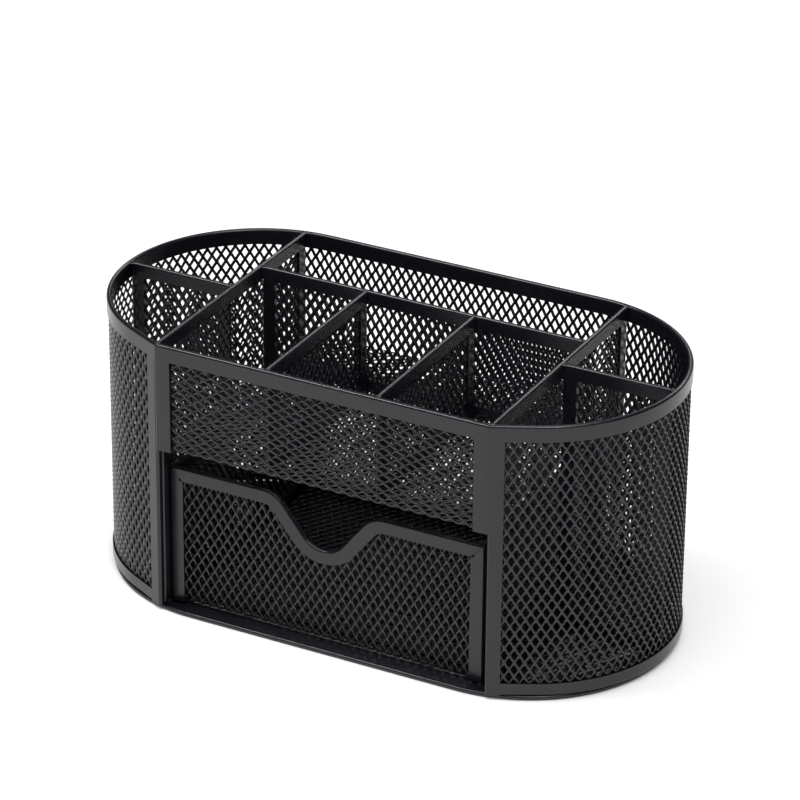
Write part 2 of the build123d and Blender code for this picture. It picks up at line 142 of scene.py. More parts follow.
def set_camera():
    """A long lens from the front right, at the photograph's viewing angle."""
    turn, rise, roll = radians(VIEW_TURN), radians(VIEW_RISE), radians(VIEW_ROLL)
    back = Vector((sin(turn) * cos(rise), -cos(turn) * cos(rise), sin(rise)))
    right = Vector((cos(turn), sin(turn), 0))
    up = right.cross(-back)
    right_rolled = cos(roll) * right + sin(roll) * up
    up_rolled = -sin(roll) * right + cos(roll) * up
    bpy.ops.object.camera_add()
    camera = bpy.context.object
    camera.name = "camera"
    turned = Matrix((right_rolled, up_rolled, back)).transposed()
    camera.matrix_world = Matrix.Translation(Vector(VIEW_PLACE) * MM) @ turned.to_4x4()
    camera.data.sensor_width = SENSOR
    camera.data.lens = VIEW_FOCUS / PHOTO_WIDTH * SENSOR
    camera.data.clip_end = 20
    bpy.context.scene.camera = camera


set_camera()


# ---- Tools of the bench ----------------------------------------------------------------
def leave_edit():
    """Go back from edit mode to the piece as a whole."""
    bpy.ops.object.mode_set(mode="OBJECT")


def deselect():
    """Select nothing, outside edit mode."""
    if bpy.context.mode != "OBJECT":
        leave_edit()
    bpy.ops.object.select_all(action="DESELECT")


def pick(piece):
    """Make one piece the selected and active one."""
    deselect()
    piece.select_set(True)
    bpy.context.view_layer.objects.active = piece


def edit(piece):
    """Open one piece in edit mode."""
    pick(piece)
    bpy.ops.object.mode_set(mode="EDIT")


def edit_all(piece):
    """Open one piece in edit mode, with all of it selected."""
    edit(piece)
    bpy.ops.mesh.select_all(action="SELECT")


def select_where(piece, kind, test):
    """In edit mode, select the vertices, edges or faces that pass a test on their middle."""
    bpy.ops.mesh.select_mode(type={"verts": "VERT", "edges": "EDGE", "faces": "FACE"}[kind])
    bpy.ops.mesh.select_all(action="DESELECT")
    leave_edit()
    mesh = piece.data
    if kind == "verts":
        for vertex in mesh.vertices:
            vertex.select = test(vertex.co / MM)
    if kind == "edges":
        for edge in mesh.edges:
            middle = sum((mesh.vertices[v].co for v in edge.vertices), Vector()) / 2
            edge.select = test(middle / MM)
    if kind == "faces":
        for face in mesh.polygons:
            face.select = test(face.center / MM)
    bpy.ops.object.mode_set(mode="EDIT")


def apply_all(piece):
    """Apply a piece's modifiers, in their order."""
    pick(piece)
    for modifier in list(piece.modifiers):
        bpy.ops.object.modifier_apply(modifier=modifier.name)


def settle(piece):
    """Put a piece's place into its mesh, so that its object stands at the origin."""
    pick(piece)
    bpy.ops.object.transform_apply(location=True, rotation=True, scale=True)


def stand(piece, origin, across, up):
    """Set a flat piece into its plane: its corner, its direction across and its direction up."""
    across, up = Vector(across), Vector(up)
    turned = Matrix((across, up, across.cross(up))).transposed().to_4x4()
    piece.matrix_world = Matrix.Translation(Vector(origin) * MM) @ turned
    settle(piece)


def block(size, middle):
    """A plain box of a given size about its middle."""
    bpy.ops.mesh.primitive_cube_add(size=1)
    piece = bpy.context.object
    piece.scale = Vector(size) * MM
    piece.location = Vector(middle) * MM
    settle(piece)
    return piece


def cut(piece, at, outwards, close=False):
    """Cut a piece at a plane and drop what lies outwards of it."""
    edit_all(piece)
    bpy.ops.mesh.bisect(
        plane_co=Vector(at) * MM, plane_no=outwards, clear_outer=True, use_fill=close,
        threshold=1e-7,
    )
    leave_edit()


def drop_faces(piece, test):
    """Delete the faces whose middle passes a test."""
    edit(piece)
    select_where(piece, "faces", test)
    bpy.ops.mesh.delete(type="FACE")
    leave_edit()


def round_edges(piece, radius, segments, test):
    """Round the edges whose middle passes a test."""
    edit(piece)
    select_where(piece, "edges", test)
    bpy.ops.mesh.bevel(offset=radius * MM, segments=segments, affect="EDGES")
    leave_edit()


def repeat(piece, count, step):
    """Array a piece in a row of joined copies."""
    array = piece.modifiers.new("row", "ARRAY")
    array.count = count
    array.use_relative_offset = False
    array.use_constant_offset = True
    array.constant_offset_displace = Vector(step) * MM
    array.use_merge_vertices = True
    array.merge_threshold = MERGE * MM


def thicken(piece, thickness):
    """Give a sheet its thickness, half of it to each side."""
    solid = piece.modifiers.new("thickness", "SOLIDIFY")
    solid.thickness = thickness * MM
    solid.offset = 0
    apply_all(piece)


def bend_along(piece, path):
    """Bend a piece along a path and drop the path."""
    follow = piece.modifiers.new("bend", "CURVE")
    follow.object = path
    follow.deform_axis = "POS_X"
    apply_all(piece)
    bpy.data.objects.remove(path)


def seat(piece, body, *nodes, metal="mesh_metal"):
    """Let a piece ride on its body in place of its CAD nodes."""
    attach(piece, body)
    if nodes:
        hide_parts(*nodes)


def box_of(node):
    """The two corners of a CAD node's box."""
    return [Vector(corner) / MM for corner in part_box(node)]


def wall_size(node, along):
    """Length and height of an upright node that runs along x or y."""
    low, high = box_of(node)
    length = high.x - low.x if along == "x" else high.y - low.y
    return length, high.z - low.z


def stand_in_wall(piece, node, along):
    """Stand a flat piece in the middle plane of an upright node."""
    low, high = box_of(node)
    middle = (low + high) / 2
    if along == "x":
        stand(piece, (low.x, middle.y, low.z), RIGHT, UP)
    else:
        stand(piece, (middle.x, low.y, low.z), BACK, UP)


# ---- Paths -----------------------------------------------------------------------------
def corner_point(place):
    """A path's point without handles."""
    return (place, place, place)


def arc_points(centre, radius, start, sweep, steps):
    """A path's points along an arc, with their handles, in degrees."""
    handle = 4 / 3 * tan(radians(sweep / steps) / 4) * radius
    points = []
    for step in range(steps + 1):
        turn = radians(start + sweep * step / steps)
        place = Vector((centre[0] + radius * cos(turn), centre[1] + radius * sin(turn)))
        run = Vector((-sin(turn), cos(turn))) * handle
        points.append((place, place - run, place + run))
    return points


def straighten(points, at):
    """Run a path straight from one of its points to the next."""
    (start, before, _), (end, _, after) = points[at], points[at + 1]
    points[at] = (start, before, start.lerp(end, 0.3))
    points[at + 1] = (end, end.lerp(start, 0.3), after)


def path_through(name, points, smoothness=32, closed=False):
    """A Bezier path; each point is its place and its two handles."""
    bpy.ops.curve.primitive_bezier_curve_add()
    path = bpy.context.object
    path.name = name
    spline = path.data.splines[0]
    spline.bezier_points.add(len(points) - 2)
    for point, (place, before, after) in zip(spline.bezier_points, points):
        point.handle_left_type = "FREE"
        point.handle_right_type = "FREE"
        point.co = place.to_3d() * MM
        point.handle_left = before.to_3d() * MM
        point.handle_right = after.to_3d() * MM
    spline.use_cyclic_u = closed
    path.data.resolution_u = smoothness
    return path


def flat_ring(outline, width):
    """Turn a closed path into a flat ring of a given width, inwards from the path."""
    pick(outline)
    bpy.ops.object.convert(target="MESH")
    ring = bpy.context.object
    edit_all(ring)
    bpy.ops.mesh.remove_doubles(threshold=MERGE * MM)
    bpy.ops.mesh.edge_face_add()
    bpy.ops.mesh.inset(thickness=width * MM)
    bpy.ops.mesh.delete(type="FACE")
    leave_edit()
    return ring


# The end walls leave the front corners straight, then roll round to the back wall
corner_reach = hypot(CORNER_X - END_X, HALF_DEPTH + END_Y)
corner_bearing = degrees(atan2(-HALF_DEPTH - END_Y, CORNER_X - END_X))
LEAD_ANGLE = corner_bearing + degrees(acos(END_RADIUS / corner_reach)) + 90
LEAD_LENGTH = (corner_reach**2 - END_RADIUS**2) ** 0.5
END_SWEEP = 180 - LEAD_ANGLE
WRAP_LENGTH = 2 * LEAD_LENGTH + 2 * radians(END_SWEEP) * END_RADIUS + 2 * END_X


def wall_plan():
    """The plan of the rolled wall, from the left front corner round the back to the right."""
    left = arc_points((-END_X, END_Y), END_RADIUS, 90 + END_SWEEP, -END_SWEEP, 4)
    right = arc_points((END_X, END_Y), END_RADIUS, 90, -END_SWEEP, 4)
    first = Vector((-CORNER_X, -HALF_DEPTH))
    last = Vector((CORNER_X, -HALF_DEPTH))
    points = [corner_point(first), *left, *right, corner_point(last)]
    for straight in (0, len(left), len(points) - 2):
        straighten(points, straight)
    return path_through("wall plan", points)


# ---- Expanded mesh ---------------------------------------------------------------------
def knuckle_with_strands(weave):
    """One knuckle with its four strand halves, and a second one half a pitch from it."""
    across, along = weave["pitch"]
    half_wide, half_long = weave["knuckle"]
    bpy.ops.mesh.primitive_circle_add(vertices=4, radius=1, fill_type="NGON")
    piece = bpy.context.object
    piece.scale = (half_wide * MM, half_long * MM, 1)
    settle(piece)
    for x, y in ((1, 1), (-1, 1), (-1, -1), (1, -1)):
        edit(piece)
        middle = Vector((x * half_wide / 2, y * half_long / 2, 0))
        select_where(piece, "edges", lambda at: (at - middle).length < NEAR)
        reach = Vector((x * across / 4, y * along / 4, 0)) - middle
        bpy.ops.mesh.extrude_region_move(TRANSFORM_OT_translate={"value": reach * MM})
        leave_edit()
    twist_strands(piece, weave)
    edit_all(piece)
    bpy.ops.mesh.duplicate_move(
        TRANSFORM_OT_translate={"value": Vector((across / 2, along / 2, 0)) * MM}
    )
    bpy.ops.mesh.select_all(action="SELECT")
    bpy.ops.mesh.remove_doubles(threshold=MERGE * MM)
    bpy.ops.mesh.normals_make_consistent(inside=False)
    leave_edit()
    return piece


def twist_strands(piece, weave):
    """Lift one edge of every strand and lower the other, as the press leaves them."""
    across, along = weave["pitch"]
    half_wide, half_long = weave["knuckle"]
    lifts = []
    for side in (-1, 1):
        lifts.append((Vector((side * half_wide, 0, 0)), side * weave["twist"]))
        for x in (-1, 1):
            for y in (-1, 1):
                middle = Vector((x * across / 4, y * along / 4, 0))
                slope = -side * x * y
                end = middle + Vector((side * half_wide / 2, slope * half_long / 2, 0))
                lifts.append((end, side * weave["twist"] / 2))
    for place, lift in lifts:
        edit(piece)
        select_where(piece, "verts", lambda at: (at.xy - place.xy).length < NEAR)
        bpy.ops.transform.translate(value=(0, 0, lift * MM))
        leave_edit()


def flat_mesh(name, width, height, weave):
    """A flat sheet of expanded mesh from (0, 0) to (width, height), still without thickness."""
    across, along = weave["pitch"]
    piece = knuckle_with_strands(weave)
    piece.name = name
    piece.location = Vector((-across, -along, 0)) * MM
    settle(piece)
    repeat(piece, ceil(width / across) + SPARE, (across, 0, 0))
    repeat(piece, ceil(height / along) + SPARE, (0, along, 0))
    apply_all(piece)
    edit_all(piece)
    bpy.ops.mesh.remove_doubles(threshold=MERGE * MM)
    cut(piece, (0, 0, 0), (-1, 0, 0))
    cut(piece, (width, 0, 0), (1, 0, 0))
    cut(piece, (0, 0, 0), (0, -1, 0))
    cut(piece, (0, height, 0), (0, 1, 0))
    return piece


def finish_mesh(piece, body, node):
    """Thicken a sheet and seat it; smooth shading shows the coat as rounded off."""
    thicken(piece, SHEET)
    bpy.ops.object.shade_smooth()
    seat(piece, body, node)


# ---- The mesh sheets -------------------------------------------------------------------
def rolled_wall():
    """The one sheet of both rounded ends and the back."""
    inset = FOLD + SEAT
    low, high = box_of("rolled_wall_mesh")
    piece = flat_mesh("rolled_wall_weave", WRAP_LENGTH - 2 * inset, high.z - low.z, TALL)
    stand(piece, (inset, 0, low.z), RIGHT, UP)
    bend_along(piece, wall_plan())
    finish_mesh(piece, "housing", "rolled_wall_mesh")


def upright_mesh(node, along, body="housing"):
    """The flat sheet of a divider or of the drawer's sides and back."""
    piece = flat_mesh(f"{node}_weave", *wall_size(node, along), TALL)
    stand_in_wall(piece, node, along)
    finish_mesh(piece, body, node)


def level_mesh(node, body, keep=None):
    """The flat sheet of a floor."""
    low, high = box_of(node)
    piece = flat_mesh(f"{node}_weave", high.x - low.x, high.y - low.y, TALL)
    stand(piece, (low.x, low.y, (low.z + high.z) / 2), RIGHT, BACK)
    if keep:
        drop_faces(piece, lambda at: not keep(at))
    finish_mesh(piece, body, node)


def bent_panel(node, weave, front_y, body, keep):
    """A panel's sheet, bent along its lower edge into the shelf or foot behind it."""
    low, high = box_of(node)
    floor = low.z + CAD_SHEET / 2
    drop = high.z - floor - BEND
    run = high.y - front_y - BEND
    length = drop + BEND * pi / 2 + run
    turned = {**weave, "pitch": weave["pitch"][::-1], "knuckle": weave["knuckle"][::-1]}
    piece = flat_mesh(f"{node}_weave", length, high.x - low.x, turned)
    # bent in the xy plane, with the depth as x and the height as y, then turned upright
    stand(piece, (0, 0, low.x), RIGHT, UP)
    top, back = Vector((front_y, high.z)), Vector((high.y, floor))
    bend = arc_points((front_y + BEND, floor + BEND), BEND, 180, 90, 1)
    points = [corner_point(top), *bend, corner_point(back)]
    straighten(points, 0)
    straighten(points, 2)
    bend_along(piece, path_through("panel section", points))
    stand(piece, (0, 0, 0), BACK, UP)
    drop_faces(piece, lambda at: not keep(at))
    finish_mesh(piece, body, node)


def in_front_panel(at):
    """Beside its lower bend the sheet is notched to clear the two side strips."""
    return abs(at.x) < CORNER_X - EDGE or at.z > NOTCH_TOP or at.y > FOLD - HALF_DEPTH


def scoop_top(x):
    """Height of the drawer front's edge at x, along its finger scoop."""
    slope, radius = radians(SCOOP_SLOPE), SCOOP_ROUND
    off = abs(x - SCOOP_X)
    bottom = DRAWER_TOP - SCOOP_DEPTH
    low_end = radius * sin(slope)
    if off < low_end:
        return bottom + radius - (radius**2 - off**2) ** 0.5
    high_start = SCOOP_HALF - low_end
    if off < high_start:
        return bottom + radius * (1 - cos(slope)) + (off - low_end) * tan(slope)
    if off < SCOOP_HALF:
        return DRAWER_TOP - radius + (radius**2 - (SCOOP_HALF - off) ** 2) ** 0.5
    return DRAWER_TOP


def in_drawer_front(at):
    """Kept up to well under the strip along the scoop, in all directions."""
    for turn in range(0, 360, 30):
        dx, dz = UNDER_STRIP * cos(radians(turn)), UNDER_STRIP * sin(radians(turn))
        if at.z + dz >= scoop_top(at.x + dx):
            return False
    return True


def in_floor(at):
    """Inside the outline of the base frame, and behind the flat sill before the drawer."""
    in_sill = abs(at.x) < BAY and at.y < SILL - BASE_RADIUS
    from_spine = hypot(max(0, abs(at.x) - BASE_X), at.y)
    return from_spine < BASE_RADIUS - FLOOR_IN and not in_sill


rolled_wall()
bent_panel("front_panel_and_shelf_mesh", WIDE, -HALF_DEPTH, "housing", in_front_panel)
for _, side_name in SIDES:
    upright_mesh(f"{side_name}_cross_divider_mesh", "y")
    upright_mesh(f"{side_name}_end_divider_mesh", "x")
    upright_mesh(f"{side_name}_short_divider_mesh", "y")
    upright_mesh(f"drawer_{side_name}_side_mesh", "y", "drawer")
upright_mesh("long_divider_mesh", "x")
upright_mesh("drawer_back_mesh", "x", "drawer")
bent_panel("drawer_front_mesh", FINE, DRAWER_MID_Y, "drawer", in_drawer_front)
level_mesh("drawer_floor_mesh", "drawer")
level_mesh("floor_mesh", "housing", in_floor)


# ---- Folded strips ---------------------------------------------------------------------
def at_ends(length):
    """Test for the faces at both ends of a bar that runs along x from 0."""
    return lambda at: at.x < NEAR or at.x > length - NEAR


def folded_bar(name, length, width, stretches=1):
    """A strip folded over the edge of the mesh: along x from 0, fold up and slot down."""
    step = length / stretches
    piece = block((step, STRIP, width), (step / 2, 0, width / 2))
    piece.name = name
    drop_faces(piece, at_ends(step))
    round_edges(piece, FOLD_ROUND, FOLD_SEGMENTS,
                lambda at: at.z > width - NEAR and abs(at.y) > STRIP / 2 - NEAR)
    edit(piece)
    select_where(piece, "faces", lambda at: at.z < NEAR)
    bpy.ops.mesh.inset(thickness=FLANGE * MM, use_boundary=False)
    bpy.ops.mesh.extrude_region_move(
        TRANSFORM_OT_translate={"value": (0, 0, (width - FOLD) * MM)}
    )
    drop_faces(piece, at_ends(step))
    if stretches > 1:
        repeat(piece, stretches, (step, 0, 0))
        apply_all(piece)
    return piece


def close_ends(piece):
    """Merge a bar's points and close what is still open."""
    edit_all(piece)
    bpy.ops.mesh.remove_doubles(threshold=MERGE * MM)
    bpy.ops.mesh.fill_holes(sides=0)
    bpy.ops.mesh.select_all(action="SELECT")
    bpy.ops.mesh.normals_make_consistent(inside=False)
    leave_edit()


def smooth_folds(piece):
    """Smooth the round folds and keep the wide faces beside them flat."""
    pick(piece)
    bpy.ops.object.shade_smooth_by_angle(angle=radians(SMOOTH_ANGLE))
    even = piece.modifiers.new("even shading", "WEIGHTED_NORMAL")
    even.keep_sharp = True
    apply_all(piece)


def finish_strip(piece, body, *nodes):
    """Close a strip, smooth its folds and seat it."""
    close_ends(piece)
    smooth_folds(piece)
    seat(piece, body, *nodes, metal="strip_metal")


def lay(piece, start, along, fold):
    """Lay a bar from its start along one direction, with its fold towards another."""
    stand(piece, start, along, Vector(fold).cross(Vector(along)))


def rolled_strip(place, inset, width, z, fold):
    """A strip bent round the ends and the back, which the CAD has in three lengths."""
    length = WRAP_LENGTH - 2 * inset
    piece = folded_bar(f"rolled_{place}", length, width, ceil(length / BEND_STEP))
    lay(piece, (inset, 0, z), RIGHT, fold)
    bend_along(piece, wall_plan())
    lengths = [f"{part}_{place}_strip" for part in ("left_end", "back", "right_end")]
    finish_strip(piece, "housing", *lengths)


def front_rim():
    """The strip along the top of the front panel."""
    piece = folded_bar("front_rim", 2 * CORNER_X, RIM)
    lay(piece, (-CORNER_X, -HALF_DEPTH, HEIGHT - RIM), RIGHT, UP)
    finish_strip(piece, "housing", "front_rim_strip")


def posts(side, name):
    """The upright strips on both sides of a front corner."""
    top = HEIGHT - RIM
    corner = Vector((side * CORNER_X, -HALF_DEPTH, 0))
    outwards = Vector((side * cos(radians(LEAD_ANGLE)), sin(radians(LEAD_ANGLE)), 0))
    piece = folded_bar(f"{name}_post", top - BASE_EDGE, EDGE)
    lay(piece, corner + outwards * EDGE + Vector((0, 0, BASE_EDGE)), UP, -outwards)
    finish_strip(piece, "housing", f"{name}_front_post")
    piece = folded_bar(f"{name}_panel_strip", top - SHELF_Z, EDGE)
    lay(piece, corner + Vector((-side * EDGE, 0, SHELF_Z)), UP, (side, 0, 0))
    finish_strip(piece, "housing", f"front_{name}_strip")


def fold_flat_ring(piece, outer):
    """Thicken a flat ring into strip and round its outer edges, where it is folded."""
    thicken(piece, STRIP)
    round_edges(piece, FOLD_ROUND, FOLD_SEGMENTS,
                lambda at: abs(at.z) > STRIP / 2 - NEAR and outer(at))


def folded_frame(name, along, body="housing"):
    """The strip folded round the four edges of an upright sheet, as one frame."""
    node = f"{name}_frame"
    length, height = wall_size(node, along)
    bpy.ops.mesh.primitive_plane_add(size=1)
    piece = bpy.context.object
    piece.name = f"{name}_strip"
    piece.scale = Vector((length, height, 1)) * MM
    piece.location = Vector((length / 2, height / 2, 0)) * MM
    settle(piece)
    edit_all(piece)
    bpy.ops.mesh.inset(thickness=EDGE * MM)
    bpy.ops.mesh.delete(type="FACE")
    leave_edit()
    fold_flat_ring(piece, lambda at: min(at.x, length - at.x, at.y, height - at.y) < NEAR)
    stand_in_wall(piece, node, along)
    finish_strip(piece, body, node)


rolled_strip("rim", 0, RIM, HEIGHT - RIM, UP)
rolled_strip("foot", EDGE, LOWER, BASE_EDGE + LOWER, DOWN)
front_rim()
for side, side_name in SIDES:
    posts(side, side_name)
    folded_frame(f"{side_name}_cross_divider", "y")
    folded_frame(f"{side_name}_end_divider", "x")
    folded_frame(f"{side_name}_short_divider", "y")
    folded_frame(f"drawer_{side_name}_side", "y", "drawer")
folded_frame("long_divider", "x")
folded_frame("drawer_back", "x", "drawer")


# ---- Strips of the drawer front --------------------------------------------------------
DRAWER_LEFT, DRAWER_RIGHT = DRAWER_X - DRAWER_HALF, DRAWER_X + DRAWER_HALF
CHORD_DROP = 0.3    # the outline's short chords lie up to this far below the scoop's curve


def drawer_front_outline():
    """The drawer front with its scoop, running on below the drawer, where it is cut off."""
    low = DRAWER_Z - 2 * EDGE
    shoulder_z = DRAWER_TOP - SCOOP_ROUND
    bottom_z = DRAWER_TOP - SCOOP_DEPTH + SCOOP_ROUND
    slope = SCOOP_SLOPE
    left_side, right_side = (
        [corner_point(Vector((x, z))) for z in (low, DRAWER_TOP)]
        for x in (DRAWER_LEFT, DRAWER_RIGHT)
    )
    scoop = (
        arc_points((SCOOP_X - SCOOP_HALF, shoulder_z), SCOOP_ROUND, 90, -slope, 2)
        + arc_points((SCOOP_X, bottom_z), SCOOP_ROUND, 270 - slope, 2 * slope, 4)
        + arc_points((SCOOP_X + SCOOP_HALF, shoulder_z), SCOOP_ROUND, 90 + slope, -slope, 2)
    )
    points = left_side + scoop + right_side[::-1]
    return path_through("drawer front outline", points, 5, closed=True)


def drawer_front_strips():
    """One strip round the drawer front and its scoop, parted at the two upper mitres."""
    ring = flat_ring(drawer_front_outline(), EDGE)
    fold_flat_ring(ring, lambda at: min(at.x - DRAWER_LEFT, DRAWER_RIGHT - at.x) < NEAR
                   or at.y > scoop_top(at.x) - CHORD_DROP)
    cut(ring, (0, DRAWER_Z, 0), (0, -1, 0), close=True)
    stand(ring, (0, DRAWER_MID_Y, 0), RIGHT, UP)
    parts = {
        "top": [(DRAWER_LEFT + MITRE_GAP, (-1, 0, -1)), (DRAWER_RIGHT - MITRE_GAP, (1, 0, -1))],
        "left": [(DRAWER_LEFT - MITRE_GAP, (1, 0, 1))],
        "right": [(DRAWER_RIGHT + MITRE_GAP, (-1, 0, 1))],
    }
    for name, mitres in parts.items():
        pick(ring)
        bpy.ops.object.duplicate()
        piece = bpy.context.object
        piece.name = f"drawer_front_{name}"
        for x, outwards in mitres:
            cut(piece, (x, 0, DRAWER_TOP), outwards, close=True)
        finish_strip(piece, "drawer", f"drawer_front_{name}_strip")
    bpy.data.objects.remove(ring)


drawer_front_strips()


# ---- Base ------------------------------------------------------------------------------
def joined(pieces, name):
    """Join pieces into the first of them and smooth it."""
    deselect()
    for piece in pieces:
        piece.select_set(True)
    bpy.context.view_layer.objects.active = pieces[0]
    bpy.ops.object.join()
    pieces[0].name = name
    smooth_folds(pieces[0])
    return pieces[0]


def base_plan(reach, smoothness):
    """The base's outline: two half circles of a given reach, and straights between them."""
    right = arc_points((BASE_X, 0), reach, -90, 180, 6)
    left = arc_points((-BASE_X, 0), reach, 90, 180, 6)
    return path_through("base plan", right + left, smoothness, closed=True)


def rolled_edge():
    """The rounded edge that the base stands on, bent from short lengths."""
    middle = BASE_RADIUS - BEAD / 2
    step = (2 * pi * middle + 4 * BASE_X) / BEAD_LENGTHS
    piece = block((step, BEAD, BASE_EDGE), (step / 2, 0, BASE_EDGE / 2))
    drop_faces(piece, at_ends(step))
    round_edges(piece, BEAD_ROUND, BEAD_SEGMENTS, lambda at: abs(at.y) > BEAD / 2 - NEAR
                and (at.z < NEAR or at.z > BASE_EDGE - NEAR))
    repeat(piece, BEAD_LENGTHS, (step, 0, 0))
    apply_all(piece)
    bend_along(piece, base_plan(middle, 32))
    close_ends(piece)
    return piece


def flat_frame():
    """The flat frame inside the rolled edge."""
    piece = flat_ring(base_plan(BASE_RADIUS - BEAD / 2, 5), LEDGE - BEAD / 2)
    thicken(piece, PLATE)
    piece.location.z = PLATE / 2 * MM
    settle(piece)
    return piece


def cross_bar(side):
    """A bar across the flat frame, under a cross divider."""
    length = 2 * (BASE_RADIUS - LEDGE - BAR_GAP)
    return block((BAR, length, PLATE), (side * CROSS_X, 0, PLATE / 2))


base = joined([rolled_edge(), flat_frame(), cross_bar(-1), cross_bar(1)], "base")
seat(base, "housing", "base_frame", metal="strip_metal")


# ---- Welds -----------------------------------------------------------------------------
WELDS = (                               # of the right-hand side, at the face of a strip
    (CROSS_X + 0.2, 1.0 - HALF_DEPTH),  # cross divider on the front rim
    (CROSS_X + 0.2, HALF_DEPTH - 2.0),  # and on the back rim
    (CROSS_X + 1.2, 0),                 # end divider on the cross divider
    (HALF_LENGTH - 1.2, 0),             # and on the rounded rim
    (CROSS_X - 1.1, LONG_Y),            # long divider on the cross divider
    (SHORT_X, LONG_Y - 1.1),            # short divider on the long divider
    (SHORT_X, 1.1 - HALF_DEPTH),        # and on the front rim
)


def corner_weld(side, name):
    """The welded and rounded joint of the strips along a front corner."""
    height = HEIGHT - SHELF_Z
    bpy.ops.mesh.primitive_cylinder_add(vertices=24, radius=CORNER_WELD, depth=height)
    piece = bpy.context.object
    piece.name = f"{name}_corner_weld"
    piece.scale = (MM, MM, MM)
    piece.location = Vector((side * CORNER_X, -HALF_DEPTH, SHELF_Z + height / 2)) * MM
    settle(piece)
    edit(piece)
    select_where(piece, "faces", lambda at: at.z > HEIGHT - NEAR)
    bpy.ops.mesh.bevel(offset=0.7 * CORNER_WELD * MM, segments=BEAD_SEGMENTS, affect="EDGES")
    smooth_folds(piece)
    seat(piece, "housing", metal="strip_metal")


def weld_bead(index, x, y):
    """A flattened bead on the rims; its size and its turn differ from one to the next."""
    bpy.ops.mesh.primitive_ico_sphere_add(subdivisions=3, radius=1)
    bead = bpy.context.object
    half_size = (1.5 - 0.2 * (index % 3), 1.2 + 0.15 * (index % 2), BEAD_HEIGHT)
    bead.scale = Vector(half_size) * MM
    bead.rotation_euler.z = radians(37 * index)
    bead.location = Vector((x, y, HEIGHT - BEAD_HEIGHT)) * MM
    settle(bead)
    return bead


for side, side_name in SIDES:
    corner_weld(side, side_name)
places = [(side * x, y) for side, _ in SIDES for x, y in WELDS]
welds = joined([weld_bead(index, *place) for index, place in enumerate(places)], "weld_spots")
bpy.ops.object.shade_smooth()
seat(welds, "housing", metal="strip_metal")


# ---- Powder coat -----------------------------------------------------------------------
def math_node(tree, operation, *values, clamp=False):
    """A math node on plain numbers and other nodes' results; gives its own result."""
    node = tree.nodes.new("ShaderNodeMath")
    node.operation = operation
    node.use_clamp = clamp
    for socket, value in zip(node.inputs, values):
        if isinstance(value, (int, float)):
            socket.default_value = value
        else:
            tree.links.new(value, socket)
    return node.outputs[0]


def powder_coat_group():
    """The fine pebbled skin of a baked powder coat, and its faint unevenness."""
    group = bpy.data.node_groups.new("powder coat", "ShaderNodeTree")
    sockets = (
        ("Coat Colour", "INPUT", "Color"), ("Gloss Roughness", "INPUT", "Float"),
        ("Grain Size", "INPUT", "Float"), ("Grain Height", "INPUT", "Float"),
        ("Unevenness", "INPUT", "Float"), ("Colour", "OUTPUT", "Color"),
        ("Roughness", "OUTPUT", "Float"), ("Normal", "OUTPUT", "Vector"),
    )
    for name, in_out, kind in sockets:
        group.interface.new_socket(name, in_out=in_out, socket_type=f"NodeSocket{kind}")
    nodes, link = group.nodes, group.links.new
    given = nodes.new("NodeGroupInput").outputs
    made = nodes.new("NodeGroupOutput").inputs
    place = nodes.new("ShaderNodeTexCoord")

    pebbles = nodes.new("ShaderNodeTexNoise")
    pebbles.inputs["Detail"].default_value = 2
    link(place.outputs["Object"], pebbles.inputs["Vector"])
    link(given["Grain Size"], pebbles.inputs["Scale"])
    bump = nodes.new("ShaderNodeBump")
    bump.inputs["Distance"].default_value = 0.1 * MM
    link(given["Grain Height"], bump.inputs["Strength"])
    link(pebbles.outputs["Fac"], bump.inputs["Height"])
    link(bump.outputs["Normal"], made["Normal"])

    drift = nodes.new("ShaderNodeTexNoise")
    drift.inputs["Scale"].default_value = 60
    drift.inputs["Detail"].default_value = 4
    link(place.outputs["Object"], drift.inputs["Vector"])
    swing = math_node(group, "SUBTRACT", drift.outputs["Fac"], 0.5)
    amount = math_node(group, "MULTIPLY", swing, given["Unevenness"])
    link(math_node(group, "ADD", given["Gloss Roughness"], amount), made["Roughness"])
    tint = nodes.new("ShaderNodeVectorMath")
    tint.operation = "SCALE"
    link(given["Coat Colour"], tint.inputs[0])
    link(math_node(group, "ADD", amount, 1), tint.inputs["Scale"])
    link(tint.outputs["Vector"], made["Colour"])
    return group


POWDER = powder_coat_group()
BLACK = (0.009, 0.009, 0.013)


def powder_coat(name, **values):
    """A powder coat; the values are those of the group's inputs."""
    material = bpy.data.materials.new(name)
    material.use_nodes = True
    nodes, link = material.node_tree.nodes, material.node_tree.links.new
    shader = nodes["Principled BSDF"]
    shader.inputs["IOR"].default_value = 1.5
    coat = nodes.new("ShaderNodeGroup")
    coat.node_tree = POWDER
    coat.inputs["Coat Colour"].default_value = (*BLACK, 1)
    for words, value in values.items():
        coat.inputs[words.replace("_", " ").title()].default_value = value
    link(coat.outputs["Colour"], shader.inputs["Base Color"])
    link(coat.outputs["Roughness"], shader.inputs["Roughness"])
    link(coat.outputs["Normal"], shader.inputs["Normal"])
    return material


STRIP_COAT = powder_coat(
    "black powder coat on strip",
    gloss_roughness=0.24, grain_size=2500, grain_height=0.3, unevenness=0.1,
)
MESH_COAT = powder_coat(
    "black powder coat on mesh",
    gloss_roughness=0.25, grain_size=3500, grain_height=0.25, unevenness=0.12,
)
for piece in bpy.data.objects:
    if piece.type == "MESH":
        is_mesh = piece.name.endswith(("mesh", "weave"))
        piece.data.materials.clear()
        piece.data.materials.append(MESH_COAT if is_mesh else STRIP_COAT)


# ---- Floor and light -------------------------------------------------------------------
FLOOR_GLOW = 0.36       # what the floor adds to the light on it, to be seen as white
PAINTED_SHADOW_FADE = 4.0        # half the soft edge of the painted shadow under the organizer, where the glow fades out round the foot of the end walls
